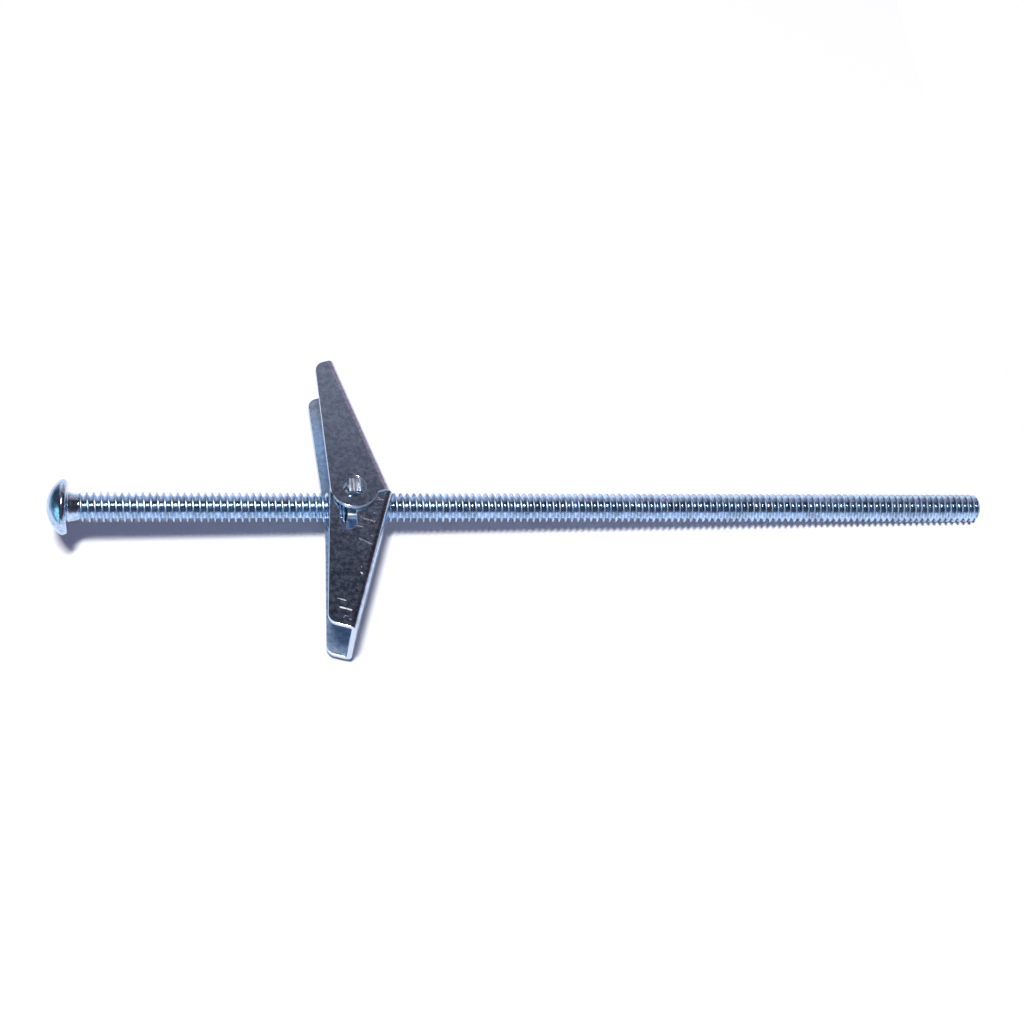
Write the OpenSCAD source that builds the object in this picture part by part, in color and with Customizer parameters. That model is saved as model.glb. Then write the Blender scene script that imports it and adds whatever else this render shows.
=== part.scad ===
// Spring toggle bolt: a slotted round-head machine screw carries a trunnion nut,
// and two sprung channel wings fold on the nut's stubs.
// Millimetres. The bolt axis is X and the head's underside is at x = 0, with the tail at +X.
// Z is the fold axis, and the wings open towards +Y and -Y.

/* [Screw] */
// Diameter of the round head
head_d = 8.7; // [7.5:0.1:10]
// Height of the head over its seat
head_h = 3.2; // [2.6:0.1:4]
// Rounding of the head's rim
head_rim_r = 0.7; // [0.4:0.1:0.9]
// Width of the driver slot
slot_w = 1.2; // [0.8:0.1:1.6]
// Depth of the driver slot below the crown
slot_depth = 1.5; // [0.8:0.1:2]
// Turn of the driver slot about the bolt axis, from Y towards Z
slot_turn = 27; // [0:1:179]
// Diameter of the plain neck below the head
neck_d = 4.15; // [3.8:0.05:4.4]
// Length of the plain neck
neck_len = 1.5; // [1:0.1:6]
// Fillet between the neck and the head
neck_fillet = 0.4; // [0.3:0.05:0.6]
// Outside diameter of the thread
thread_d = 4.64; // [4.5:0.01:4.8]
// Advance of the thread in one turn, here 24 turns to the inch
pitch = 1.0583; // [0.8:0.0001:1.27]
// Depth of the thread from crest to root
thread_depth = 0.58; // [0.3:0.01:0.65]
// Angle from Y towards Z at which the crest leaves the neck
thread_start = 292; // [0:1:359]
// Length of the screw below the head
screw_len = 150.6; // [76:0.1:152.4]
// Rounding of the screw's tail end
tail_r = 1.3; // [0.5:0.1:1.8]

/* [Trunnion nut] */
// Distance from the head's seat to the nut's middle
nut_at = 43.7; // [20:0.1:66]
// Thickness of the nut's plate along the bolt
nut_t = 1.9; // [1.5:0.1:2.2]
// Width of the nut's body across the bolt
nut_w = 7; // [6.4:0.1:7.4]
// Corner rounding of the nut's body
nut_corner_r = 0.9; // [0.4:0.1:1.2]
// Width of the stubs that the wings turn on
stub_w = 2.3; // [1.8:0.1:2.5]
// Reach of the stubs past the outer ears
stub_reach = 0.9; // [0.3:0.05:1.8]
// Radial clearance between the screw and the nut's bore
bore_gap = 0.1; // [0.02:0.01:0.15]
// Gap between the nut's plain shoulder and the inner ear
shoulder_gap = 0.15; // [0.05:0.05:0.4]

/* [Wings] */
// Length of a wing from the pivot to its tip
wing_len = 23.65; // [18:0.05:30]
// Width of the channel over its flanges
wing_w = 11.2; // [10.8:0.1:12.5]
// Thickness of the sheet
sheet_t = 0.8; // [0.6:0.05:1]
// Outside radius of the bends
bend_r = 1.1; // [1.05:0.05:1.5]
// Distance from the back of the web to the pivot, on the first wing
depth_a = 5.3; // [5:0.05:6.2]
// Distance from the back of the web to the pivot, on the second wing
depth_b = 6.05; // [5:0.05:6.2]
// Radius of the round ears
ear_r = 3.75; // [3.2:0.05:4]
// Diameter of the pivot holes
pivot_hole_d = 3.7; // [3.5:0.05:4.2]
// Gap between the ears that lie on each other
ear_gap = 0.1; // [0.05:0.05:0.3]
// Angle between the outer flange's open edge and the web
outer_taper = 14.2; // [8:0.1:15]
// Angle between the inner flange's open edge and the web
inner_taper = 12.9; // [8:0.1:15]
// Rounding of the flanges' corners at the tip
tip_r = 1.7; // [0.8:0.1:1.8]
// Lean of the first wing towards the head when open
lean_a = 17.9; // [10:0.1:22]
// Lean of the second wing towards the head when open
lean_b = 16.1; // [10:0.1:22]
// Shift of the wings along Y, within the play of their holes on the stubs
wing_shift = 0.37; // [0:0.01:0.4]
// Gap left where the web ends stop each other
stop_gap = 0.04; // [0.02:0.01:0.1]
// Reach of the outer flange past the pivot
outer_shoulder = 2.05; // [1.9:0.05:2.4]
// Clearance between the screw and the notch in the web
notch_gap = 0.6; // [0.3:0.05:0.8]

/* [Window] */
// Width of the window in the inner flange
window_w = 2.64; // [2:0.02:3]
// Distance of the window's round end from the pivot, to its centre
window_reach = 5.93; // [4.5:0.01:8]
// Side shift of the window's centre line, towards the open edge
window_shift = 1.13; // [0.8:0.01:1.3]
// Angle between the window's centre line and the web
window_tilt = 16.1; // [10:0.1:20]
// Straight length of the window's sides
window_straight = 2.4; // [1.5:0.1:3]
// Extra width at the window's wide end, on the open edge's side
window_flare = 0.92; // [0.1:0.02:1.1]
// Distance of that widest place from the pivot, along the window
window_wide_at = 1.63; // [1.3:0.01:2]
// Extra width at the window's wide end, on the web's side
window_inner_flare = 0.69; // [0.1:0.01:1]
// Width of the ring that stays round the pivot hole
ring_w = 0.9; // [0.6:0.05:1.2]

/* [Spring] */
// Diameter of the spring wire
wire_d = 0.42; // [0.35:0.01:0.45]
// Whole turns of the coil
coil_turns = 2; // [1:1:2]
// Gap between the coil's turns
turn_gap = 0.02; // [0.01:0.01:0.05]
// Clearance between the coil and the stub's corners
coil_gap = 0.1; // [0.05:0.05:0.3]
// Gap between the spring and what it bears on
spring_gap = 0.05; // [0.02:0.01:0.1]
// Distance along the web at which a spring leg ends
leg_reach = 10.5; // [6:0.5:16]

/* [Hidden] */
$fn = 96;
over = 1;                    // overshoot of cutting bodies
thread_sides = 16;           // facets of the thread to a turn
wire_sides = 10;
steps_per_turn = 28;

// The wings are a like pair, shifted apart along Z so that each one's outer ear lies on the
// other's inner ear.
stagger = (sheet_t + ear_gap) / 2;
inner_face = wing_w / 2 - sheet_t;              // inside of a flange, in the wing's own frame
free_half = inner_face - stagger;               // inside of the inner ears, from the bolt axis
outer_face = wing_w / 2 + stagger;              // outside of the outer ears, from the bolt axis

// The webs' ends stop the open wings. They meet inside a bend, one ear gap off the outer flange's
// inner face, where the end of the one wing's inner flange faces the corner of the other's bend.
inner_r = bend_r - sheet_t;
stop_depth = bend_r - sqrt(pow(inner_r, 2) - pow(inner_r - min(ear_gap, inner_r), 2));
function end_that_stops(corner_depth, corner_lean, face_lean) =
    let (
        gap_at_pivot = (corner_depth - stop_depth) * (sin(corner_lean) + cos(corner_lean) * tan(face_lean)),
        gap_per_length = cos(corner_lean) + cos(face_lean)
            + (sin(face_lean) - sin(corner_lean)) * tan(face_lean)
    )
    (stop_gap - gap_at_pivot) / gap_per_length;
web_end = max(end_that_stops(depth_a, lean_a, lean_b), end_that_stops(depth_b, lean_b, lean_a));

coil_pitch = wire_d + turn_gap;
coil_h = coil_turns * coil_pitch + wire_d;
coil_r = norm([nut_t, stub_w]) / 2 + coil_gap + wire_d / 2;
nut_top = free_half - coil_h - 2 * spring_gap;  // shoulder under the coil
nut_bottom = -(free_half - shoulder_gap);
stub_end = outer_face + stub_reach;

// ---------------------------------------------------------------- screw

// Half section of the head: a dome that runs into the rounded rim.
module head_profile() {
    rim_x = head_d / 2 - head_rim_r;
    rim_top = head_h - head_rim_r;
    dome_r = (pow(rim_x, 2) + pow(rim_top, 2) - pow(head_rim_r, 2)) / (2 * (rim_top - head_rim_r));
    dome_y = head_h - dome_r;
    rim_line = [rim_x, head_rim_r - dome_y] * 2;
    intersection() {
        square([head_d, head_h]);
        union() {
            square([rim_x, head_rim_r]);
            translate([rim_x, head_rim_r]) circle(r = head_rim_r);
            translate([0, dome_y]) intersection() {
                circle(r = dome_r);
                polygon([[0, 0], rim_line, [rim_line.x, 2 * dome_r], [0, 2 * dome_r]]);
            }
        }
    }
}

// Half section of the neck, with the length running down from the seat.
module neck_profile() {
    neck_r = neck_d / 2;
    translate([0, -neck_len]) square([neck_r, neck_len]);
    difference() {
        translate([0, -neck_fillet]) square([neck_r + neck_fillet, neck_fillet]);
        translate([neck_r + neck_fillet, -neck_fillet]) circle(r = neck_fillet);
    }
}

// The thread is drawn on lines along the bolt, thread_sides of them to a turn. Its points are
// numbered along a line: the even ones lie on the crest and the odd ones on the root, half a
// pitch apart. A line is cut off level at the neck and at the tail, where a round takes over.
half_pitch = pitch / 2;
thread_r = thread_d / 2;

function line_x(line, n) = neck_len + pitch * (line / thread_sides - thread_start / 360) + n * half_pitch;
function first_of(line) = floor((neck_len - line_x(line, 0)) / half_pitch) + 1;
function last_of(line) = ceil((screw_len - line_x(line, 0)) / half_pitch) - 1;
function tail_limit(x) =
    let (into_tail = max(0, x - screw_len + tail_r))
    thread_r - tail_r + sqrt(pow(tail_r, 2) - pow(into_tail, 2));

// A point of the thread, where n may lie between two numbers.
function thread_point(line, x) =
    let (
        n = (x - line_x(line, 0)) / half_pitch,
        from_crest = abs(n - 2 * round(n / 2)),
        r = min(thread_r - thread_depth * from_crest, tail_limit(x)),
        turn = 360 * line / thread_sides
    )
    [x, r * cos(turn), r * sin(turn)];

module thread() {
    lines = [
        for (line = [0:thread_sides - 1]) [
            thread_point(line, neck_len),
            for (n = [first_of(line):last_of(line)]) thread_point(line, line_x(line, n)),
            thread_point(line, screw_len)
        ]
    ];
    // place of each line's first point in the list of all points
    starts = [
        for (line = 0, sum = 0; line < thread_sides; sum = sum + len(lines[line]), line = line + 1) sum
    ];
    // The line after the last one is the first, a turn further on.
    function index(line, n) =
        line < thread_sides ? starts[line] + 1 + n - first_of(line) : index(0, n + 2);
    function neck_index(line) = starts[line % thread_sides];
    function tail_index(line) = neck_index(line) + len(lines[line % thread_sides]) - 1;
    flanks = [
        for (line = [0:thread_sides - 1], n = [first_of(line):last_of(line + 1) - 1])
            [index(line, n), index(line, n + 1), index(line + 1, n + 1), index(line + 1, n)]
    ];
    neck_rim = [
        for (line = [0:thread_sides - 1]) [
            neck_index(line),
            index(line, first_of(line)),
            for (n = [first_of(line):-1:first_of(line + 1)]) index(line + 1, n),
            neck_index(line + 1)
        ]
    ];
    tail_rim = [
        for (line = [0:thread_sides - 1]) [
            for (n = [last_of(line + 1):last_of(line)]) index(line, n),
            tail_index(line),
            tail_index(line + 1),
            index(line + 1, last_of(line + 1))
        ]
    ];
    ends = [
        [for (line = [0:thread_sides - 1]) neck_index(line)],
        [for (line = [thread_sides - 1:-1:0]) tail_index(line)]
    ];
    polyhedron(
        points = [for (line = lines) each line],
        faces = concat(flanks, neck_rim, tail_rim, ends)
    );
}

module screw() {
    color("lightsteelblue") difference() {
        union() {
            rotate([0, -90, 0]) rotate_extrude() {
                head_profile();
                neck_profile();
            }
            thread();
        }
        rotate([slot_turn, 0, 0])
            translate([-head_h - over, -head_d, -slot_w / 2])
                cube([slot_depth + over, 2 * head_d, slot_w]);
    }
}

// ---------------------------------------------------------------- trunnion nut

// Outline of the nut's body, y across the bolt and z along the fold axis.
module nut_body_outline() {
    half_w = nut_w / 2;
    translate([-half_w, nut_bottom + nut_corner_r])
        square([nut_w, nut_top - nut_bottom - 2 * nut_corner_r]);
    translate([nut_corner_r - half_w, nut_bottom])
        square([nut_w - 2 * nut_corner_r, nut_top - nut_bottom]);
    for (side = [-1, 1], level = [nut_bottom + nut_corner_r, nut_top - nut_corner_r])
        translate([side * (half_w - nut_corner_r), level]) circle(r = nut_corner_r);
}

module trunnion_nut() {
    color("slategray") translate([nut_at, 0, 0]) difference() {
        rotate([90, 0, 90]) linear_extrude(height = nut_t, center = true) {
            nut_body_outline();
            square([stub_w, 2 * stub_end], center = true);
        }
        rotate([0, 90, 0]) cylinder(r = thread_r + bore_gap, h = nut_t + 2 * over, center = true);
    }
}

// ---------------------------------------------------------------- wings
// A wing's own frame: x along the web from the pivot towards the tip, y from the back of the web
// towards the open side, z along the fold axis. Its outer ear is the one at +z.

// U section of the folded sheet: y across the sheet's depth, z over the flanges.
module rounded_channel(inset, r) {
    half = wing_w / 2 - inset;
    height = max(depth_a, depth_b) + ear_r + over;
    translate([inset + r, -half]) square([height, 2 * half]);
    translate([inset, r - half]) square([height, 2 * (half - r)]);
    for (side = [-1, 1])
        translate([inset + r, side * (half - r)]) circle(r = r);
}

module channel_section() {
    difference() {
        rounded_channel(0, bend_r);
        rounded_channel(sheet_t, inner_r);
    }
}

// Outline of a flange: a round ear, an open edge that runs off it at a tangent, and a rounded tip.
module flange_outline(depth, taper) {
    edge_out = [sin(taper), cos(taper)];
    ear = [0, depth];
    tip_x = wing_len - tip_r;
    edge_start = ear + ear_r * edge_out;
    tip_y = edge_start.y - (tip_x - edge_start.x) * tan(taper) - tip_r / cos(taper);
    tip = [tip_x, tip_y];
    translate(ear) circle(r = ear_r);
    translate(tip) circle(r = tip_r);
    polygon([
        [-outer_shoulder, 0],
        [wing_len, 0],
        [wing_len, tip_y],
        tip + tip_r * edge_out,
        edge_start,
        ear,
        [-outer_shoulder, depth]
    ]);
}

// Both flanges' outlines as one block to cut the channel with, the outer flange's above z = 0.
module flange_block(depth) {
    half = wing_w / 2 + over;
    linear_extrude(height = half) flange_outline(depth, outer_taper);
    translate([0, 0, -half]) linear_extrude(height = half) flange_outline(depth, inner_taper);
}

// What is cut off behind the stop: the web, and the inner flange's shoulder up to its round ear.
module stop_cut(depth) {
    bottom = -wing_w / 2 - over;
    behind = ear_r + over + web_end;
    // web
    translate([-ear_r - over, -over, bottom])
        cube([behind, depth - ear_r + over, inner_face - bottom]);
    // shoulder of the inner flange
    translate([0, 0, bottom])
        linear_extrude(height = sheet_t + 2 * over)
            difference() {
                translate([-ear_r - over, 0]) square([behind, depth]);
                translate([0, depth]) circle(r = ear_r);
            }
}

// Window in the inner flange: a slot with a round end that widens towards the pivot.
module window_outline() {
    open_side = -window_shift - window_w / 2;
    web_side = window_w / 2 - window_shift;
    waist = window_reach - window_straight;
    difference() {
        union() {
            translate([-window_shift, window_reach]) circle(r = window_w / 2);
            translate([open_side, 0]) square([window_w, window_reach]);
            polygon([
                [open_side, waist],
                [open_side - window_flare, window_wide_at],
                [0, 0],
                [web_side + window_inner_flare, waist],
                [web_side, waist + window_inner_flare / 2]
            ]);
        }
        circle(r = pivot_hole_d / 2 + ring_w);
    }
}

module wing(depth) {
    difference() {
        intersection() {
            translate([-ear_r - over, 0, 0])
                rotate([90, 0, 90])
                    linear_extrude(height = wing_len + ear_r + 2 * over) channel_section();
            flange_block(depth);
        }
        stop_cut(depth);
        // pivot holes in both ears
        translate([0, depth, 0])
            cylinder(r = pivot_hole_d / 2, h = wing_w + 2 * over, center = true);
        // half-round notch for the screw
        translate([web_end, sheet_t / 2, -stagger])
            rotate([90, 0, 0])
                cylinder(r = thread_r + notch_gap, h = sheet_t + over, center = true);
        // window in the inner flange
        translate([0, depth, -wing_w / 2 - over])
            rotate([0, 0, -90 - window_tilt])
                linear_extrude(height = sheet_t + 2 * over) window_outline();
    }
}

// An open wing on the nut, reaching out along Y.
module open_wing(depth, lean) {
    translate([nut_at, 0, stagger])
        rotate([0, 0, 90 + lean])
            translate([0, -depth, 0]) wing(depth);
}

module wing_a() {
    color("gray") translate([0, wing_shift, 0]) open_wing(depth_a, lean_a);
}

module wing_b() {
    color("dimgray") translate([0, wing_shift, 0]) rotate([180, 0, 0]) open_wing(depth_b, lean_b);
}

// ---------------------------------------------------------------- torsion spring
// The wire comes in along one web, winds round the stub and leaves along the other web.

function leg_end(depth, lean) =
    let (leg_depth = depth - sheet_t - spring_gap - wire_d / 2)
    leg_reach * [-sin(lean), cos(lean)] + leg_depth * [cos(lean), sin(lean)];

// Angle from the bolt axis at which a straight leg runs off the coil.
function leg_angle(end) = atan2(abs(end.y), end.x) - acos(coil_r / norm(end));

end_a = [0, wing_shift] + leg_end(depth_a, lean_a);
end_b = let (end = leg_end(depth_b, lean_b)) [end.x, wing_shift - end.y];
coil_low = nut_top + spring_gap + wire_d / 2;
coil_high = coil_low + coil_turns * coil_pitch;
coil_sweep = 360 * coil_turns + leg_angle(end_a) + leg_angle(end_b);
coil_steps = coil_turns * steps_per_turn;

function coil_point(part) =
    let (turn = leg_angle(end_a) - part * coil_sweep)
    [coil_r * cos(turn), coil_r * sin(turn), coil_high + part * (coil_low - coil_high)];

spring_path = concat(
    [[end_a.x, end_a.y, coil_high]],
    [for (i = [0:coil_steps]) coil_point(i / coil_steps)],
    [[end_b.x, end_b.y, coil_low]]
);

// A round wire along a path that lies nearly level: each ring stands upright across the path.
module swept_wire(path, r) {
    last = len(path) - 1;
    function heading(i) =
        let (step = path[min(i + 1, last)] - path[max(i - 1, 0)])
        atan2(step.y, step.x);
    points = [
        for (i = [0:last], k = [0:wire_sides - 1])
            let (side = r * cos(360 * k / wire_sides), a = heading(i))
            path[i] + [-side * sin(a), side * cos(a), r * sin(360 * k / wire_sides)]
    ];
    rings = [
        for (i = [0:last - 1], k = [0:wire_sides - 1])
            let (n = (k + 1) % wire_sides, a = i * wire_sides, b = a + wire_sides)
            [a + k, b + k, b + n, a + n]
    ];
    caps = [
        [for (k = [0:wire_sides - 1]) k],
        [for (k = [wire_sides - 1:-1:0]) last * wire_sides + k]
    ];
    polyhedron(points = points, faces = concat(rings, caps));
}

module torsion_spring() {
    color("silver") translate([nut_at, 0, 0]) swept_wire(spring_path, wire_d / 2);
}

screw();
trunnion_nut();
torsion_spring();
wing_a();
wing_b();
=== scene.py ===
import math
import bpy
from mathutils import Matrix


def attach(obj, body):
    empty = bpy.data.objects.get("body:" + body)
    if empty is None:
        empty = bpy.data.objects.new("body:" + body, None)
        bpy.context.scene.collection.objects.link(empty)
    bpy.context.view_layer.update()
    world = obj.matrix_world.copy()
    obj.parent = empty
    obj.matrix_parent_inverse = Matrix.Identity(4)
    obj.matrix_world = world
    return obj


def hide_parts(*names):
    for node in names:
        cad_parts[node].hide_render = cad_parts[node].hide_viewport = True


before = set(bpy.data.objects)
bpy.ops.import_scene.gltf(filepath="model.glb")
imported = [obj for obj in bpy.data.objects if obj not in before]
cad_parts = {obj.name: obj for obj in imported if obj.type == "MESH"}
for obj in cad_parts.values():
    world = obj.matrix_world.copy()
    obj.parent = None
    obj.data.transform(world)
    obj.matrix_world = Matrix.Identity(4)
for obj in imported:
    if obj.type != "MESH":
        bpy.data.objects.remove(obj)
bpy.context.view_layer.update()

from types import SimpleNamespace

import bmesh
import bpy
from mathutils import Matrix, Vector

# ------------------------------------------------------------------ the part's own measures, in mm and degrees
MM = 0.001
# screw: head, its slot, the tapered neck, the thread and the rounded tail
HEAD_D, HEAD_H, HEAD_RIM, UNDER_HEAD_R, CROWN = 8.7, 3.2, 0.7, 3.1, 89.0
SLOT_W, SLOT_DEPTH, SLOT_TURN, SLOT_FLARE, SLOT_FLARE_H = 1.2, 1.5, 27, 0.12, 0.9
NECK_R, NECK_FILLET, NECK_TAPER, NECK_END, THREAD_RUNOUT = 2.075, 0.4, 0.33, 1.45, 0.6
CREST_R, ROOT_R, PITCH = 2.32, 1.735, 25.4 / 24
CREST_AT, CREST_TURN = 1.79, 30.7   # a crest stands this far under the head, at this angle round the bolt
SCREW_LEN, TAIL_R, TAIL_SLOPE, SKIN_MARGIN = 150.6, 1.3, 0.7, 0.05
# half a pitch of the rolled thread, from crest to root: distance along the bolt and radius
ROLLED = (
    (0, CREST_R), (0.075, 2.312), (0.125, 2.262), (0.25, 2.0),
    (0.39, 1.768), (0.45, ROOT_R + 0.006), (PITCH / 2, ROOT_R),
)
# nut: a plate with a stub at each end, and grooves in the stubs' ends: place, lean, half width and depth
NUT_AT, NUT_T, NUT_W, NUT_CORNER, STUB_W = 43.7, 1.9, 7.0, 0.9, 2.3
NUT_TOP, NUT_BOTTOM, STUB_END, BORE_PLAY, NUT_EDGE = 2.95, -4.2, 6.95, 0.1, 0.1
GROOVES, GROOVE_RISE = ((-0.42, 4, 0.13, 0.12), (0.1, -3, 0.2, 0.16), (0.56, 2, 0.1, 0.1)), 0.05
# wings: folded sheet, with round ears and holes, a notch in the web and a window in one flange
WING_LEN, WING_W, SHEET, BEND, WING_EDGE = 23.65, 11.2, 0.8, 1.1, 0.09
EAR_R, HOLE_R, TIP_R, STAGGER = 3.75, 1.85, 1.7, 0.45
OUTER_TAPER, INNER_TAPER = math.radians(14.2), math.radians(12.9)
SHOULDER, WEB_END, NOTCH_R = 2.05, -1.331, 2.92
# each wing: depth from the web's back to the pivot, lean towards the head; both sit off the nut's middle
WING_A, WING_B, WING_SHIFT = (5.3, math.radians(17.9)), (6.05, math.radians(16.1)), 0.37
WINDOW_W, WINDOW_REACH, WINDOW_SHIFT, WINDOW_TILT = 2.64, 5.93, 1.13, math.radians(16.1)
WINDOW_STRAIGHT, FLARE, WIDE_AT, INNER_FLARE, RING_R = 2.4, 0.92, 1.63, 0.69, 2.75
# spring: round wire, two turns between two heights, and a straight leg along each web
WIRE_R, COIL_R, COIL_LOW, COIL_HIGH, LEG_REACH, LEG_INSET = 0.21, 1.803, 3.21, 4.09, 10.5, 1.06
COIL_STEPS, LEG_STEPS, HIDDEN_STEPS = 96, 10, 11
LEG_B_WIDER, WIDER_STEPS = 0.27, 7  # the lower leg's inner end stands wider, to pass the stub as it folds
TIP_RING, TIP_ROUND, HIDDEN_RING = 0.55, 0.45, 0.93     # in wire radii
CLEAR = 1                           # how far a cutter reaches past what it cuts

STAND_UP = Matrix(((0, 0, 1, 0), (1, 0, 0, 0), (0, 1, 0, 0), (0, 0, 0, 1)))     # an outline's x, y to y, z
LIE_DOWN = Matrix(((1, 0, 0, 0), (0, 0, 1, 0), (0, 1, 0, 0), (0, 0, 0, 1)))     # an outline's x, y to x, z


# ------------------------------------------------------------------ mesh tools
def arc(x, y, r, start, end, steps):
    """Points on an arc, angles in degrees, both ends included."""
    angles = [math.radians(start + (end - start) * i / steps) for i in range(steps + 1)]
    return [(x + r * math.cos(a), y + r * math.sin(a)) for a in angles]


def circle(x, y, r, points=48):
    """A closed outline of evenly spaced points."""
    return arc(x, y, r, 0, 360 - 360 / points, points - 1)


def new_object(name, verts, faces):
    """An object from points and faces, with points that coincide merged and normals that face out."""
    mesh = bpy.data.meshes.new(name)
    mesh.from_pydata(verts, [], faces)
    mesh.update()
    obj = bpy.data.objects.new(name, mesh)
    bpy.context.scene.collection.objects.link(obj)
    bm = bmesh.new()
    bm.from_mesh(mesh)
    bmesh.ops.remove_doubles(bm, verts=bm.verts, dist=1e-5)
    bmesh.ops.recalc_face_normals(bm, faces=bm.faces)
    bm.to_mesh(mesh)
    bm.free()
    return obj


def prism(name, loop, low, high, to=Matrix.Identity(4)):
    """A closed outline drawn in x, y and raised from low to high along z, then carried over by a matrix."""
    n = len(loop)
    verts = [to @ Vector((x, y, z)) for z in (low, high) for x, y in loop]
    faces = [tuple(range(n))[::-1], tuple(range(n, 2 * n))]
    faces += [(i, (i + 1) % n, n + (i + 1) % n, n + i) for i in range(n)]
    return new_object(name, verts, faces)


def bake(obj):
    """Applies the modifiers."""
    graph = bpy.context.evaluated_depsgraph_get()
    mesh = bpy.data.meshes.new_from_object(obj.evaluated_get(graph))
    obj.modifiers.clear()
    obj.data = mesh
    return obj


def boolean(obj, other, operation="DIFFERENCE"):
    """Cuts, joins or intersects with another object, which is used up."""
    cut = obj.modifiers.new("cut", "BOOLEAN")
    cut.solver, cut.operation, cut.object = "EXACT", operation, other
    bake(obj)
    bpy.data.objects.remove(other)
    return obj


def tidy(obj, weld=0.004, flat=0.6):
    """Merges the points that a cut leaves beside each other and the faces that lie in one plane."""
    bm = bmesh.new()
    bm.from_mesh(obj.data)
    bmesh.ops.remove_doubles(bm, verts=bm.verts, dist=weld)
    bmesh.ops.dissolve_degenerate(bm, dist=weld, edges=bm.edges)
    bmesh.ops.dissolve_limit(bm, angle_limit=math.radians(flat), verts=bm.verts, edges=bm.edges)
    bm.to_mesh(obj.data)
    bm.free()
    return obj


def shade(obj, sharp):
    """Shades smooth across edges up to an angle in degrees."""
    obj.data.polygons.foreach_set("use_smooth", [True] * len(obj.data.polygons))
    obj.data.set_sharp_from_angle(angle=math.radians(sharp))
    return obj


def soften(obj, width, segments=2, limit=35, sharp=40, weight=80):
    """Rounds the sheared edges and keeps the flat faces flat."""
    edge = obj.modifiers.new("edge", "BEVEL")
    edge.width, edge.segments, edge.limit_method = width, segments, "ANGLE"
    edge.angle_limit, edge.use_clamp_overlap = math.radians(limit), False
    bake(obj)
    shade(obj, sharp)
    normals = obj.modifiers.new("normals", "WEIGHTED_NORMAL")
    normals.keep_sharp, normals.weight = True, weight
    return bake(obj)


def place(obj, body, slot, material, *nodes, at=Matrix.Identity(4)):
    """Brings a piece from mm into the frame, on its body and in place of its CAD node."""
    obj.data.transform(Matrix.Scale(MM, 4) @ at)
    obj.data.materials.clear()
    obj.data.materials.append(material)
    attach(obj, body)
    if nodes:
        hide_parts(*nodes)
    return obj


# ------------------------------------------------------------------ screw
ROUND_AT = SCREW_LEN - TAIL_R                       # where the tail starts to round
FLAT_FROM = ROUND_AT + TAIL_R * math.pi / 2         # the same, plus the length of the rounding's arc


def smooth(t):
    """Eases from 0 to 1 as t does."""
    t = min(max(t, 0.0), 1.0)
    return t * t * (3 - 2 * t)


def head_rings():
    """Rings from beside the crown to the neck: place along the bolt and radius."""
    rim_x, rim_top = HEAD_D / 2 - HEAD_RIM, HEAD_H - HEAD_RIM
    dome_r = (rim_x**2 + rim_top**2 - HEAD_RIM**2) / (2 * (rim_top - HEAD_RIM))
    dome_end = math.degrees(math.atan2(HEAD_RIM - HEAD_H + dome_r, rim_x))
    profile = arc(0, HEAD_H - dome_r, dome_r, CROWN, dome_end, 12)
    profile += arc(rim_x, HEAD_RIM, HEAD_RIM, dome_end, -90, 9)[1:]
    neck_start = NECK_R + NECK_TAPER * (1 - NECK_FILLET / NECK_END)
    profile += [(UNDER_HEAD_R, 0)] + arc(neck_start + NECK_FILLET, -NECK_FILLET, NECK_FILLET, 90, 180, 5)
    return [(-y, r) for r, y in profile]


def thread_rows(pitch):
    """Rows along one side of the bolt, from the neck to just past the tail: place along the skin and radius."""
    crest_at = CREST_AT - PITCH * CREST_TURN / 360
    most_turns = round(SCREW_LEN / PITCH) + 3
    rows = [(crest_at + k * PITCH + x, r) for k in range(-2, most_turns) for x, r in pitch]
    first = next(i for i, row in enumerate(rows) if row[0] > NECK_FILLET + SKIN_MARGIN)
    last = next(i for i, row in enumerate(rows) if row[0] > FLAT_FROM + SKIN_MARGIN)
    return rows[first:last + 1]


def skin(q, r):
    """Where a point of the endless thread comes on this bolt, with its tapered neck and rounded tail."""
    neck = NECK_R + NECK_TAPER * max(0.0, 1 - q / NECK_END)
    r = neck + (r - neck) * smooth((q - NECK_END) / THREAD_RUNOUT)
    if q <= ROUND_AT:
        return q, r
    if q < FLAT_FROM:
        turn = (q - ROUND_AT) / TAIL_R
        limit = CREST_R - TAIL_R + TAIL_R * math.cos(turn)
        return ROUND_AT + TAIL_R * math.sin(turn), min(r, limit)
    return SCREW_LEN, (CREST_R - TAIL_R) - (q - FLAT_FROM) * TAIL_SLOPE


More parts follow.
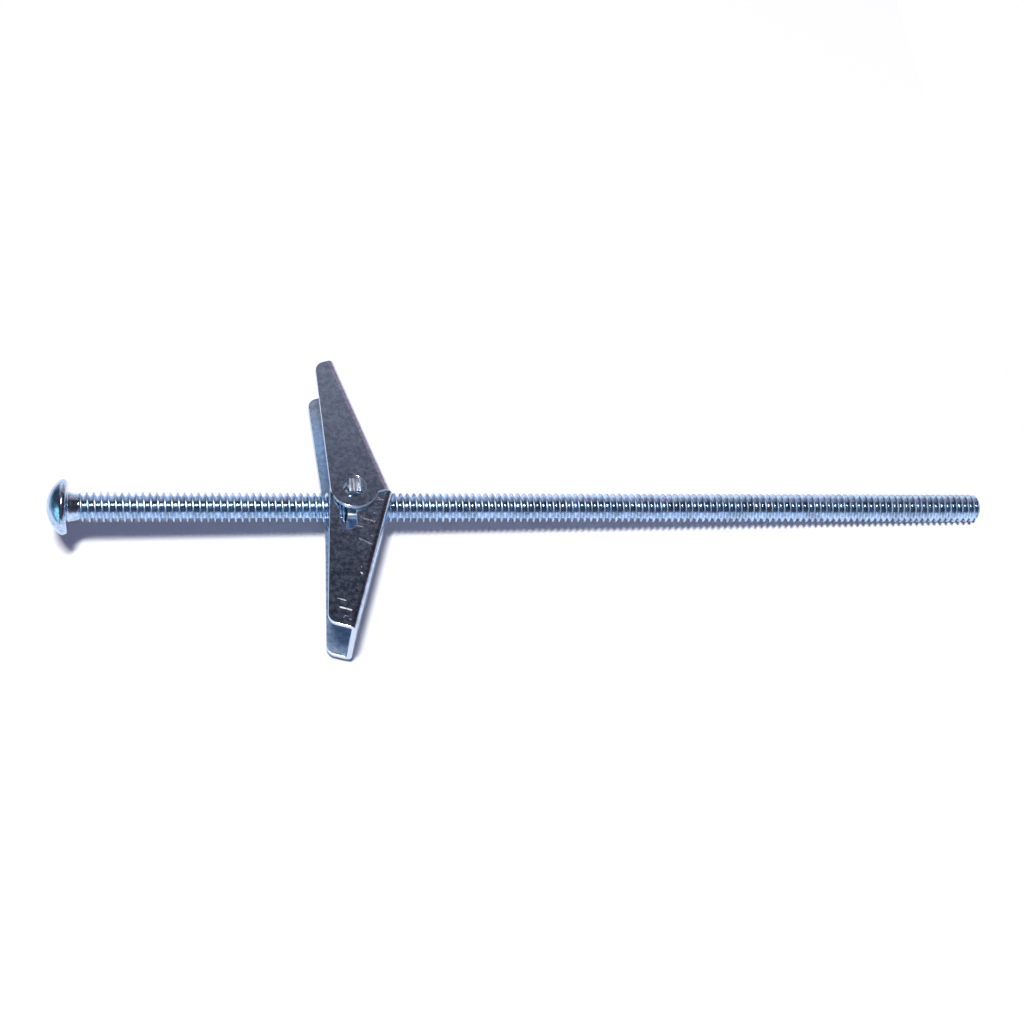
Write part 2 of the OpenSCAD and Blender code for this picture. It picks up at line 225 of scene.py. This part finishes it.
def screw():
    """Head, neck and rolled thread as one closed skin. The thread's rows follow the helix."""
    sides = 40
    pitch = ROLLED + tuple((PITCH - x, r) for x, r in ROLLED[-2:0:-1])
    samples = len(pitch)
    rows = thread_rows(pitch)
    verts, faces = [(-HEAD_H, 0, 0)], []

    def point(x, r, j):
        a = 2 * math.pi * j / sides
        verts.append((x, r * math.cos(a), r * math.sin(a)))
        return len(verts) - 1

    loops = [[point(x, r, j) for j in range(sides)] for x, r in head_rings()]
    faces += [(0, loops[0][(j + 1) % sides], loops[0][j]) for j in range(sides)]
    for a, b in zip(loops, loops[1:]):
        faces += [(a[j], a[(j + 1) % sides], b[(j + 1) % sides], b[j]) for j in range(sides)]

    # one turn of a row brings it a pitch further along, where it meets the row that starts there
    grid = [[point(*skin(q + PITCH * j / sides, r), j) for j in range(sides)] for q, r in rows]
    count = len(grid)
    for i, (q, r) in enumerate(rows):
        grid[i].append(grid[i + samples][0] if i + samples < count else point(*skin(q + PITCH, r), 0))
    for i in range(count - 1):
        faces += [(grid[i][j], grid[i][j + 1], grid[i + 1][j + 1], grid[i + 1][j]) for j in range(sides)]

    # the neck's last ring meets the first turn, and the last turn is closed at the tail
    neck = loops[-1]
    faces += [(neck[j], neck[j + 1], grid[0][j + 1], grid[0][j]) for j in range(sides - 1)]
    faces.append([neck[-1], neck[0]] + [grid[i][0] for i in range(samples + 1)] + [grid[0][sides - 1]])
    faces.append(grid[-1][:] + [grid[i][sides] for i in range(count - 2, count - 1 - samples, -1)])
    return shade(slotted(new_object("machine_screw", verts, faces)), sharp=38)


def slotted(body):
    """Cuts the driver's slot, which opens a little towards the crown."""
    w, floor, flare_from, top = SLOT_W / 2, SLOT_DEPTH - HEAD_H, SLOT_FLARE_H - HEAD_H, HEAD_H + CLEAR / 2
    loop = [(floor, -w), (floor, w), (flare_from, w), (-top, w + SLOT_FLARE), (-top, -w - SLOT_FLARE), (flare_from, -w)]
    turned = Matrix.Rotation(math.radians(SLOT_TURN), 4, "X") @ LIE_DOWN
    return boolean(body, prism("slot", loop[::-1], -HEAD_D, HEAD_D, turned))


# ------------------------------------------------------------------ wings
def flange_loop(shoulder_x, depth, taper):
    """Outline of a flange, counter-clockwise from its shoulder at the web."""
    out = math.radians(90) - taper
    tip_x = WING_LEN - TIP_R
    start = (EAR_R * math.cos(out), depth + EAR_R * math.sin(out))
    tip_y = start[1] - (tip_x - start[0]) * math.tan(taper) - TIP_R / math.cos(taper)
    end = 180 + math.degrees(math.acos(-shoulder_x / EAR_R))
    loop = [(shoulder_x, 0), (WING_LEN, 0)]
    loop += arc(tip_x, tip_y, TIP_R, 0, math.degrees(out), 8)
    loop += arc(0, depth, EAR_R, math.degrees(out), end, 44)
    return loop


def channel_section(height):
    """The folded sheet across the wing: the web at 0, the flanges up to a height."""
    half, inner_r = WING_W / 2, BEND - SHEET
    outer = arc(BEND, BEND - half, BEND, -90, -180, 10) + arc(BEND, half - BEND, BEND, 180, 90, 10)
    inner = arc(BEND, half - BEND, inner_r, 90, 180, 6) + arc(BEND, BEND - half, inner_r, -180, -90, 6)
    return [(height, -half)] + outer + [(height, half), (height, half - SHEET)] + inner + [(height, SHEET - half)]


def window_cutter(depth):
    """A slot that widens towards the pivot, behind the ring that stays round the hole."""
    low, high = -WING_W / 2 - CLEAR, -WING_W / 2 + SHEET + CLEAR
    left, right = -WINDOW_SHIFT - WINDOW_W / 2, WINDOW_W / 2 - WINDOW_SHIFT
    waist = WINDOW_REACH - WINDOW_STRAIGHT
    loop = [(0, 0), (right + INNER_FLARE, waist), (right, waist + INNER_FLARE / 2)]
    loop += arc(-WINDOW_SHIFT, WINDOW_REACH, WINDOW_W / 2, 0, 180, 20)
    loop += [(left, waist), (left - FLARE, WIDE_AT)]
    turned = Matrix.Translation((0, depth, 0)) @ Matrix.Rotation(-math.pi / 2 - WINDOW_TILT, 4, "Z")
    window = prism("window", loop, low, high, turned)
    return boolean(window, prism("ring", circle(0, depth, RING_R), low - CLEAR, high + CLEAR))


def wing(name, depth):
    """A wing on its back, web at y = 0, with its pivot at x = 0 and y = depth."""
    half = WING_W / 2
    section = channel_section(depth + EAR_R + CLEAR)
    # three slices across the width, as the two flanges differ in taper and in shoulder
    slices = (
        (WEB_END, INNER_TAPER, -half - CLEAR, 0),
        (WEB_END, OUTER_TAPER, 0, half - SHEET),
        (-SHOULDER, OUTER_TAPER, half - SHEET, half + CLEAR),
    )
    parts = []
    for shoulder, taper, low, high in slices:
        channel = prism(name, section[::-1], -EAR_R - CLEAR, WING_LEN + CLEAR, STAND_UP)
        outline = prism("outline", flange_loop(shoulder, depth, taper), low, high)
        parts.append(boolean(channel, outline, "INTERSECT"))
    sheet = boolean(boolean(parts[0], parts[1], "UNION"), parts[2], "UNION")
    boolean(sheet, prism("hole", circle(0, depth, HOLE_R), -half - CLEAR, half + CLEAR))
    through_web = Matrix.Translation((WEB_END, 0, -STAGGER)) @ LIE_DOWN
    boolean(sheet, prism("notch", circle(0, 0, NOTCH_R), -CLEAR / 2, SHEET + CLEAR / 2, through_web))
    boolean(sheet, window_cutter(depth))
    return soften(tidy(sheet), WING_EDGE)


def open_wing(depth, lean):
    """Carries a wing to its open stop on the nut."""
    return (
        Matrix.Translation((NUT_AT, 0, STAGGER))
        @ Matrix.Rotation(math.pi / 2 + lean, 4, "Z")
        @ Matrix.Translation((0, -depth, 0))
    )


def wing_length(sizes, side):
    """The direction along an open wing, in the frame; side is 1 for the upper wing and -1 for the lower."""
    lean = sizes[1]
    return (-math.sin(lean), math.cos(lean) * side, 0)


# ------------------------------------------------------------------ nut
def nut():
    """The stamped plate with its stubs, bore and grooves."""
    half = NUT_W / 2
    loop = []
    for x, y, a in ((1, 1, 0), (-1, 1, 90), (-1, -1, 180), (1, -1, 270)):
        level = NUT_TOP - NUT_CORNER if y > 0 else NUT_BOTTOM + NUT_CORNER
        corner = arc(x * (half - NUT_CORNER), level, NUT_CORNER, a, a + 90, 6)
        stub = [(x * STUB_W / 2, NUT_TOP if y > 0 else NUT_BOTTOM), (x * STUB_W / 2, y * STUB_END)]
        loop += corner + stub if x * y > 0 else stub[::-1] + corner
    upright = Matrix.Translation((NUT_AT, 0, 0)) @ STAND_UP
    plate = prism("trunnion", loop, -NUT_T / 2, NUT_T / 2, upright)
    boolean(plate, prism("bore", circle(0, 0, CREST_R + BORE_PLAY), -NUT_T, NUT_T, upright))
    soften(plate, NUT_EDGE)
    # the sheared ends of the stubs keep shallow grooves from the blanking die
    for at, lean, width, depth in GROOVES:
        turned = (
            Matrix.Translation((NUT_AT, 0, 0))
            @ Matrix.Rotation(math.radians(lean), 4, "Z")
            @ Matrix.Translation((-NUT_AT, 0, 0))
            @ LIE_DOWN
        )
        for side in (1, -1):
            notch = [(at - width, GROOVE_RISE), (at, -depth), (at + width, GROOVE_RISE)]
            loop = [(NUT_AT + u, side * (STUB_END + v)) for u, v in (notch if side > 0 else notch[::-1])]
            boolean(plate, prism("groove", loop, -STUB_W, STUB_W, turned))
    return shade(plate, sharp=35)


# ------------------------------------------------------------------ spring
def wire(name, path, radii, sides=14):
    """A round wire along a path, with a radius at each point."""
    verts, faces = [], []
    last = len(path) - 1
    for i, (p, r) in enumerate(zip(path, radii)):
        step = (Vector(path[min(i + 1, last)]) - Vector(path[max(i - 1, 0)])).normalized()
        side = step.cross(Vector((0, 0, 1))).normalized()
        up = side.cross(step)
        for k in range(sides):
            a = 2 * math.pi * k / sides
            verts.append(Vector(p) + r * (math.cos(a) * side + math.sin(a) * up))
    for i in range(last):
        a, b = i * sides, (i + 1) * sides
        faces += [(a + k, a + (k + 1) % sides, b + (k + 1) % sides, b + k) for k in range(sides)]
    faces += [tuple(range(sides))[::-1], tuple(range(last * sides, (last + 1) * sides))]
    return shade(new_object(name, verts, faces), sharp=50)


def leg_end(depth, lean, shift):
    """Where a spring leg ends on its wing's web, and the angle at which it runs off the coil."""
    s, c, level = math.sin(lean), math.cos(lean), depth - LEG_INSET
    x, y = level * c - LEG_REACH * s, shift + LEG_REACH * c + level * s
    return x, y, math.atan2(y, x) - math.acos(COIL_R / math.hypot(x, y))


def spring_leg(name, turns, tip, wider):
    """A straight leg with a rounded tip. It goes on inside the coil's wire, which a folding wing winds out."""
    inner = []
    for k, (x, y, z) in enumerate(turns[1:HIDDEN_STEPS + 1], 1):
        grow = 1 + wider / COIL_R * math.sin(math.pi * min(k, WIDER_STEPS) / WIDER_STEPS)
        inner.append(Vector((NUT_AT + (x - NUT_AT) * grow, y * grow, z)))
    tip, base = Vector(tip), Vector(turns[0])
    run = [tip + (base - tip) * t / LEG_STEPS for t in range(LEG_STEPS + 1)]
    round_end = tip + (base - tip).normalized() * WIRE_R * TIP_ROUND
    path = [tip, round_end] + run[1:] + inner
    radii = [WIRE_R * TIP_RING, WIRE_R] + [WIRE_R] * LEG_STEPS + [WIRE_R * HIDDEN_RING] * HIDDEN_STEPS
    return wire(name, path, radii)


def springs():
    """The coil on the nut and a leg on each wing, as pieces with the body that each rides on."""
    end_a, end_b = leg_end(*WING_A, WING_SHIFT), leg_end(*WING_B, -WING_SHIFT)
    leg_from, sweep = end_a[2], 4 * math.pi + end_a[2] + end_b[2]

    def coil_point(part):
        a = leg_from - part * sweep
        return (NUT_AT + COIL_R * math.cos(a), COIL_R * math.sin(a), COIL_HIGH + part * (COIL_LOW - COIL_HIGH))

    coil = [coil_point(i / COIL_STEPS) for i in range(COIL_STEPS + 1)]
    return (
        (wire("spring_coil", coil, [WIRE_R] * len(coil)), "nut"),
        (spring_leg("spring_leg_a", coil, (NUT_AT + end_a[0], end_a[1], COIL_HIGH), 0), "wing_a"),
        (spring_leg("spring_leg_b", coil[::-1], (NUT_AT + end_b[0], -end_b[1], COIL_LOW), LEG_B_WIDER), "wing_b"),
    )


# ------------------------------------------------------------------ materials
class Nodes:
    """Adds nodes to a node tree. Each method returns the socket that holds its result."""

    def __init__(self, tree):
        self.tree = tree

    def new(self, kind):
        return self.tree.nodes.new("ShaderNode" + kind)

    def feed(self, socket, value):
        """Puts a number, a colour or another node's result into a socket."""
        if isinstance(value, (int, float)):
            socket.default_value = value
        elif isinstance(value, tuple):
            socket.default_value = (*value, 1)
        else:
            self.tree.links.new(value, socket)

    def math(self, operation, *values):
        node = self.new("Math")
        node.operation = operation
        for socket, value in zip(node.inputs, values):
            self.feed(socket, value)
        return node.outputs[0]

    def spread(self, value, low, high, to_low=0, to_high=1, kind="LINEAR"):
        """Carries the range from low to high over to the range from to_low to to_high."""
        node = self.new("MapRange")
        node.interpolation_type = kind
        for key, x in (("From Min", low), ("From Max", high), ("To Min", to_low), ("To Max", to_high)):
            node.inputs[key].default_value = x
        self.feed(node.inputs["Value"], value)
        return node.outputs["Result"]

    def mix(self, factor, first, second):
        node = self.new("Mix")
        node.data_type = "RGBA"
        for key, x in (("Factor", factor), ("A", first), ("B", second)):
            self.feed(node.inputs[key], x)
        return node.outputs["Result"]

    def noise(self, where, scale, detail=4):
        node = self.new("TexNoise")
        node.inputs["Scale"].default_value, node.inputs["Detail"].default_value = scale, detail
        self.feed(node.inputs["Vector"], where)
        return node.outputs["Fac"]

    def ramp(self, value, stops):
        node = self.new("ValToRGB")
        self.feed(node.inputs["Fac"], value)
        elements = node.color_ramp.elements
        while len(elements) < len(stops):
            elements.new(0.5)
        for element, (at, colour) in zip(elements, stops):
            element.position, element.color = at, (*colour, 1)
        return node.outputs["Color"]

    def parts(self, vector):
        node = self.new("SeparateXYZ")
        self.feed(node.inputs[0], vector)
        return node.outputs

    def dot(self, vector, direction):
        node = self.new("VectorMath")
        node.operation = "DOT_PRODUCT"
        self.feed(node.inputs[0], vector)
        node.inputs[1].default_value = direction
        return node.outputs["Value"]


FINE_SHARE, BROAD_SHARE, BROAD_SIZE = 0.45, 0.55, 3.5      # the mottling is a fine noise over a broader one
MOTTLE_LOW, MOTTLE_HIGH = 0.41, 0.59                        # the noise's values from its darkest to its palest
BRIGHTEST = 0.8                                             # the least roughness, as a share of the piece's own
UNEVEN_DEPTH = 0.02                                         # in mm
# wear: where it starts and where it is full, in mm or as a part of the normal, its roughness and its colour
CREST_FROM, CREST_FULL, CREST_ROUGH, PAST_NECK = 2.24, 2.29, 0.42, 1.4
EDGE_ALONG, EDGE_UPRIGHT, EDGE_ROUGH, EDGE_TINT = (0.1, 0.2), (0.55, 0.35), 0.5, (0.66, 0.74, 0.85)
FLANGE_FROM, FLANGE_FULL, FLANGE_ROUGH = -3.6, -4, 0.33
STUB_UPRIGHT, STUB_ROUGH = (0.6, 0.85), 0.45
SCRATCH_CORE, SCRATCH_RIM, SCRATCH_ROUGH, SCRATCH_TINT = 0.25, 0.65, 0.62, (0.82, 0.82, 0.88)
SCRATCH_BREAKS, LEAST_SCRATCH = (0.35, 0.55), 0.6
OUTER_FACE = 4.9        # in mm: only the outer face of the upper flange stands higher


def zinc(name, colour, roughness, grain, mottle, dull=1.3, uneven=0.35, wear=()):
    """Bright zinc plate: fine mottling of colour and gloss, and a faint unevenness.

    dull is the most roughness, as a share of the piece's own, and grain the mottling's fineness per metre.
    Each function in wear then changes the colour and the roughness where the piece has been worked or rubbed.
    """
    material = bpy.data.materials.new(name)
    material.use_nodes = True
    make = Nodes(material.node_tree)
    where = make.new("TexCoord").outputs
    fine, broad = make.noise(where["Object"], grain), make.noise(where["Object"], grain / BROAD_SIZE)
    both = make.math("ADD", make.math("MULTIPLY", fine, FINE_SHARE), make.math("MULTIPLY", broad, BROAD_SHARE))
    dark, pale = tuple(c * (1 - mottle) for c in colour), tuple(min(c * (1 + mottle), 1) for c in colour)
    tint = make.mix(make.spread(both, MOTTLE_LOW, MOTTLE_HIGH), dark, pale)
    rough = make.spread(both, MOTTLE_LOW, MOTTLE_HIGH, roughness * BRIGHTEST, roughness * dull)
    x, y, z = make.parts(where["Object"])
    spot = SimpleNamespace(x=x, y=y, z=z, normal=where["Normal"], fine=fine)
    for change in wear:
        tint, rough = change(make, spot, tint, rough)
    shader = material.node_tree.nodes["Principled BSDF"]
    shader.inputs["Metallic"].default_value = 1.0
    make.feed(shader.inputs["Roughness"], rough)
    make.feed(shader.inputs["Base Color"], tint)
    bump = make.new("Bump")
    bump.inputs["Strength"].default_value, bump.inputs["Distance"].default_value = uneven, UNEVEN_DEPTH * MM
    make.feed(bump.inputs["Height"], both)
    make.feed(shader.inputs["Normal"], bump.outputs["Normal"])
    return material


def rolled_crests(make, spot, tint, rough):
    """The thread's crests are duller than its flanks."""
    radius = make.math(
        "SQRT", make.math("ADD", make.math("MULTIPLY", spot.y, spot.y), make.math("MULTIPLY", spot.z, spot.z))
    )
    past_neck = make.math("GREATER_THAN", spot.x, PAST_NECK * MM)
    on_crest = make.math("MULTIPLY", make.spread(radius, CREST_FROM * MM, CREST_FULL * MM), past_neck)
    return tint, make.math("MAXIMUM", rough, make.math("MULTIPLY", on_crest, CREST_ROUGH))


def sheared_edges(wing_way):
    """The sheared edges of a wing are paler and duller than its faces. wing_way is the direction along it."""
    def change(make, spot, tint, rough):
        along = make.math("ABSOLUTE", make.dot(spot.normal, wing_way))
        upright = make.math("ABSOLUTE", make.parts(spot.normal)[2])
        sheared = make.math("MULTIPLY", make.spread(along, *EDGE_ALONG), make.spread(upright, *EDGE_UPRIGHT))
        rough = make.math("MAXIMUM", rough, make.math("MULTIPLY", sheared, EDGE_ROUGH))
        return make.mix(sheared, tint, EDGE_TINT), rough
    return change


def dull_lower_flange(make, spot, tint, rough):
    """The flange that lies next to the table is duller than the upper one."""
    return tint, make.math("MAXIMUM", rough, make.spread(spot.z, FLANGE_FROM * MM, FLANGE_FULL * MM, 0, FLANGE_ROUGH))


def sheared_stubs(make, spot, tint, rough):
    """The ends of the nut's stubs are dull."""
    upright = make.math("ABSOLUTE", make.parts(spot.normal)[2])
    return tint, make.math("MAXIMUM", rough, make.spread(upright, *STUB_UPRIGHT, 0, STUB_ROUGH))


# scratches on the lower wing's outer face, listed one by one: from x, y to x, y on the bolt in mm, width and strength
SCRATCHES = (
    (40.3, -19.0, 41.5, -19.4, 0.2, 0.75),
    (40.2, -20.4, 40.8, -20.5, 0.15, 0.5),
    (40.6, -20.5, 42.2, -21.0, 0.3, 1.0),
    (44.5, -4.8, 44.9, -5.0, 0.2, 0.5),
    (45.0, -5.1, 46.6, -5.6, 0.3, 0.6),
    (43.8, -6.3, 44.7, -6.6, 0.2, 0.6),
    (44.1, -8.7, 45.8, -9.6, 0.4, 0.5),
    (47.0, -1.6, 48.1, -1.7, 0.25, 0.5),
    (47.1, -1.1, 48.0, -1.6, 0.2, 0.6),
    (46.0, -6.4, 46.7, -6.6, 0.3, 0.35),
    (45.1, -8.3, 45.5, -8.9, 0.2, 0.4),
    (45.9, -8.1, 46.2, -8.2, 0.2, 0.5),
    (46.5, -4.1, 46.9, -4.1, 0.25, 0.5),
    (41.0, -22.2, 41.3, -21.9, 0.25, 0.5),
    (41.3, -21.9, 41.6, -22.1, 0.2, 0.45),
    (41.9, -22.5, 42.0, -22.6, 0.25, 0.7),
    (41.3, -22.9, 41.5, -23.4, 0.25, 0.4),
    (41.7, -22.9, 42.0, -23.2, 0.25, 0.35),
    (44.0, -14.6, 44.2, -14.8, 0.25, 0.9),
    (44.1, -13.5, 44.2, -13.8, 0.25, 0.45),
    (40.4, -13.4, 41.1, -13.7, 0.2, 0.3),
    (42.9, -19.0, 43.2, -18.6, 0.2, 0.35),
    (41.1, -15.5, 41.1, -15.9, 0.2, 0.3),
    (43.2, -17.1, 43.4, -17.5, 0.2, 0.35),
    (39.7, -9.8, 40.1, -10.1, 0.2, 0.25),
    (41.1, -11.4, 41.3, -11.8, 0.25, 0.3),
    (44.1, -11.8, 44.7, -11.9, 0.15, 0.35),
)


def scratched(make, spot, tint, rough):
    """Pale, dull scratches that break up along their length."""
    total = 0
    for x0, y0, x1, y1, width, strength in SCRATCHES:
        # distance from the scratch's line, in a frame along it
        length = math.hypot(x1 - x0, y1 - y0)
        ux, uy = (x1 - x0) / length, (y1 - y0) / length
        dx, dy = make.math("SUBTRACT", spot.x, x0 * MM), make.math("SUBTRACT", spot.y, y0 * MM)
        run = make.math("ADD", make.math("MULTIPLY", dx, ux), make.math("MULTIPLY", dy, uy))
        off = make.math("SUBTRACT", make.math("MULTIPLY", dy, ux), make.math("MULTIPLY", dx, uy))
        middle, half = make.math("SUBTRACT", run, length / 2 * MM), length / 2 * MM
        past_end = make.math("SUBTRACT", make.math("ABSOLUTE", middle), half)
        away = make.math("MAXIMUM", past_end, make.math("ABSOLUTE", off))
        mark = make.spread(away, width * SCRATCH_CORE * MM, width * SCRATCH_RIM * MM, strength, 0)
        total = make.math("MAXIMUM", total, mark)
    total = make.math("MULTIPLY", total, make.math("GREATER_THAN", spot.z, OUTER_FACE * MM))
    total = make.math("MULTIPLY", total, make.spread(spot.fine, *SCRATCH_BREAKS, LEAST_SCRATCH, 1))
    rough = make.math("MAXIMUM", rough, make.math("MULTIPLY", total, SCRATCH_ROUGH))
    return make.mix(total, tint, SCRATCH_TINT), rough


SCREW_ZINC, WING_ZINC = (0.46, 0.6, 0.78), (0.46, 0.59, 0.76)
NUT_ZINC, SPRING_STEEL = (0.58, 0.65, 0.75), (0.5, 0.56, 0.64)
screw_zinc = zinc("screw_zinc", SCREW_ZINC, roughness=0.16, grain=2600, mottle=0.25, uneven=0.7, wear=[rolled_crests])
nut_zinc = zinc("nut_zinc", NUT_ZINC, roughness=0.2, grain=3000, mottle=0.25, wear=[sheared_stubs])
spring_steel = zinc("spring_steel", SPRING_STEEL, roughness=0.2, grain=3000, mottle=0.15)
upper_zinc = zinc(
    "upper_wing_zinc", WING_ZINC, roughness=0.14, grain=4200, mottle=0.2, dull=1.25,
    wear=[sheared_edges(wing_length(WING_A, 1)), dull_lower_flange],
)
lower_zinc = zinc(
    "lower_wing_zinc", WING_ZINC, roughness=0.135, grain=4200, mottle=0.25, dull=1.3,
    wear=[sheared_edges(wing_length(WING_B, -1)), dull_lower_flange, scratched],
)

# ------------------------------------------------------------------ the pieces in their places
place(screw(), "screw", "screw_zinc", screw_zinc, "screw")
place(nut(), "nut", "nut_zinc", nut_zinc, "trunnion_nut")
shifted = Matrix.Translation((0, WING_SHIFT, 0))
turned_over = shifted @ Matrix.Rotation(math.pi, 4, "X")
place(wing("wing_upper", WING_A[0]), "wing_a", "wing_zinc", upper_zinc, "wing_a", at=shifted @ open_wing(*WING_A))
place(wing("wing_lower", WING_B[0]), "wing_b", "wing_zinc", lower_zinc, "wing_b", at=turned_over @ open_wing(*WING_B))
for piece, body in springs():
    place(piece, body, "spring_wire", spring_steel, *(["torsion_spring"] if body == "nut" else []))

# ------------------------------------------------------------------ floor
# The bolt lies on the end of the nut's lower stub and on its tail.
FLOOR_NEAR, FLOOR_FAR, FLOOR_SIDE = -0.065, 0.12, 0.18      # in metres from the stub, along the bolt and beside it
rests = [Vector((NUT_AT + NUT_T / 2, y, -STUB_END)) for y in (0, -1)] + [Vector((SCREW_LEN - TAIL_R, 0, -CREST_R))]
up = (rests[2] - rests[0]).cross(rests[1] - rests[0]).normalized()
if up.z < 0:
    up.negate()
along = Vector((0, 1, 0)).cross(up).normalized()
corners = [(FLOOR_NEAR, -FLOOR_SIDE), (FLOOR_FAR, -FLOOR_SIDE), (FLOOR_FAR, FLOOR_SIDE), (FLOOR_NEAR, FLOOR_SIDE)]
floor = new_object("floor", [(x, y, 0) for x, y in corners], [(0, 1, 2, 3)])
floor.matrix_world = Matrix.Translation(rests[0] * MM) @ Matrix((along, up.cross(along), up)).transposed().to_4x4()


def white_paper(name, colour, glow):
    """Paper with a faint glow for rays from the camera, and for those that metal or glass sends on."""
    material = bpy.data.materials.new(name)
    material.use_nodes = True
    material.node_tree.nodes.clear()
    make = Nodes(material.node_tree)
    rays = make.new("LightPath").outputs
    seen = make.math("MAXIMUM", rays["Is Camera Ray"], rays["Is Glossy Ray"])
    seen = make.math("MAXIMUM", seen, rays["Is Transmission Ray"])
    diffuse, shine, both = make.new("BsdfDiffuse"), make.new("Emission"), make.new("AddShader")
    diffuse.inputs["Color"].default_value = (*colour, 1)
    shine.inputs["Strength"].default_value = glow
    make.feed(shine.inputs["Color"], seen)
    make.feed(both.inputs[0], diffuse.outputs[0])
    make.feed(both.inputs[1], shine.outputs[0])
    # the paper is one-sided, so that a level view isn't closed off by its underside
    sides = make.new("MixShader")
    make.feed(sides.inputs[0], make.new("NewGeometry").outputs["Backfacing"])
    make.feed(sides.inputs[1], both.outputs[0])
    make.feed(sides.inputs[2], make.new("BsdfTransparent").outputs[0])
    make.feed(make.new("OutputMaterial").inputs["Surface"], sides.outputs[0])
    return material


floor.data.materials.append(white_paper("paper", (0.9, 0.9, 0.92), 0.02))

# ------------------------------------------------------------------ the studio that the metal mirrors
# Each wall as height, from 0 straight below to 1 straight above, and colour.
WHITE = (0.93, 0.95, 1.0)
BEHIND = (
    (0, WHITE), (0.62, (0.88, 0.89, 0.95)), (0.78, (0.66, 0.63, 0.68)), (0.87, (0.44, 0.4, 0.43)),
    (0.912, (0.3, 0.27, 0.3)), (0.926, (0.08, 0.07, 0.09)), (0.95, (0.03, 0.03, 0.045)),
    (1, (0.025, 0.025, 0.035)),
)
AHEAD = (
    (0, WHITE), (0.5, WHITE), (0.54, (0.07, 0.1, 0.17)), (0.8, (0.09, 0.14, 0.22)),
    (0.95, (0.04, 0.05, 0.07)), (1, (0.025, 0.022, 0.035)),
)
LEFT = (
    (0, WHITE), (0.2, WHITE), (0.3, (0.35, 0.5, 0.6)), (0.36, (0.1, 0.2, 0.28)),
    (0.43, (0.04, 0.07, 0.11)), (0.58, (0.06, 0.06, 0.08)), (1, (0.03, 0.03, 0.04)),
)
RIGHT = (
    (0, WHITE), (0.54, (0.9, 0.86, 0.95)), (0.64, (0.12, 0.06, 0.07)), (0.8, (0.06, 0.04, 0.05)),
    (1, (0.03, 0.03, 0.04)),
)
RED = (
    (0, WHITE), (0.5, (0.9, 0.7, 0.75)), (0.56, (0.6, 0.34, 0.37)), (0.76, (0.55, 0.32, 0.35)),
    (0.87, (0.46, 0.32, 0.34)), (0.94, (0.08, 0.07, 0.09)), (1, (0.03, 0.03, 0.04)),
)
# where each wall fades into the next, along x or y of the direction, and how near the window its light starts
AHEAD_BEHIND, MIDDLE_RIGHT, RIGHT_RED, LEFT_MIDDLE = (-0.25, 0.15), (0.12, 0.4), (0.42, 0.58), (-0.8, -0.3)
NEAR_WINDOW, IN_WINDOW = (0.84, 0.94), (0.92, 0.965)
WINDOW_WAY = (-0.925, -0.375, -0.05)    # towards the window, low on the left
WINDOW_GLOW, WINDOW_LIGHT = (0.13, 0.25, 0.4), (0.65, 1.2, 1.25)
SHADOW_LIGHT = (0.075, 0.07, 0.15)      # what the paper's shadow is lit by


def studio():
    """A pale sweep behind, a dark room to the front, left and right, a little red on the right and a blue-green
    window on the left. The camera itself sees white.
    """
    world = bpy.data.worlds.new("studio")
    world.use_nodes = True
    make = Nodes(world.node_tree)
    way = make.new("TexCoord").outputs["Generated"]
    x, y, z = make.parts(way)
    height = make.spread(z, -1, 1)
    behind, ahead, left, right, red = (make.ramp(height, wall) for wall in (BEHIND, AHEAD, LEFT, RIGHT, RED))

    def fade(value, span):
        return make.spread(value, *span, kind="SMOOTHSTEP")

    around = make.mix(fade(y, AHEAD_BEHIND), ahead, behind)
    around = make.mix(fade(x, MIDDLE_RIGHT), around, make.mix(fade(y, RIGHT_RED), right, red))
    around = make.mix(fade(x, LEFT_MIDDLE), left, around)
    to_window = make.dot(way, Vector(WINDOW_WAY).normalized())
    around = make.mix(fade(to_window, NEAR_WINDOW), around, WINDOW_GLOW)
    around = make.mix(fade(to_window, IN_WINDOW), around, WINDOW_LIGHT)
    rays = make.new("LightPath").outputs
    around = make.mix(rays["Is Diffuse Ray"], around, SHADOW_LIGHT)
    around = make.mix(rays["Is Camera Ray"], around, (1.0, 1.0, 1.0))
    make.feed(world.node_tree.nodes["Background"].inputs["Color"], around)
    return world


bpy.context.scene.world = studio()

# ------------------------------------------------------------------ light and camera
AIM, KEY_WAY, KEY_FAR = Vector((0.06, 0, 0)), Vector((-0.14, -0.14, 1)), 1.5    # in metres
BOX_W, BOX_L, BOX_POWER = 0.14, 0.3, 24.5                                       # in metres and watts
light = bpy.data.lights.new("softbox", "AREA")
light.shape, light.size, light.size_y, light.energy = "RECTANGLE", BOX_W, BOX_L, BOX_POWER
softbox = bpy.data.objects.new("softbox", light)
bpy.context.scene.collection.objects.link(softbox)
softbox.location = AIM + KEY_WAY.normalized() * KEY_FAR
softbox.rotation_euler = (AIM - softbox.location).to_track_quat("-Z", "Y").to_euler()

# the camera that the photograph was fitted with: its place in mm, and the turn from the frame to it, in radians
CAMERA_AT, CAMERA_TURN = Vector((16.4, -139.58, 233.59)), Vector((-0.5342, 0.1890, 0.0511))
FOCAL_PX, IMAGE_PX, SENSOR = 1714, 1024, 36
camera = bpy.data.objects.new("camera", bpy.data.cameras.new("camera"))
bpy.context.scene.collection.objects.link(camera)
camera.data.lens, camera.data.sensor_width = FOCAL_PX * SENSOR / IMAGE_PX, SENSOR
camera.data.clip_start, camera.data.clip_end = 0.01, 20
camera.matrix_world = (
    Matrix.Translation(CAMERA_AT * MM)
    @ Matrix.Rotation(CAMERA_TURN.length, 4, CAMERA_TURN.normalized()).transposed()
)
bpy.context.scene.camera = camera
bpy.context.scene.view_settings.view_transform = "Standard"
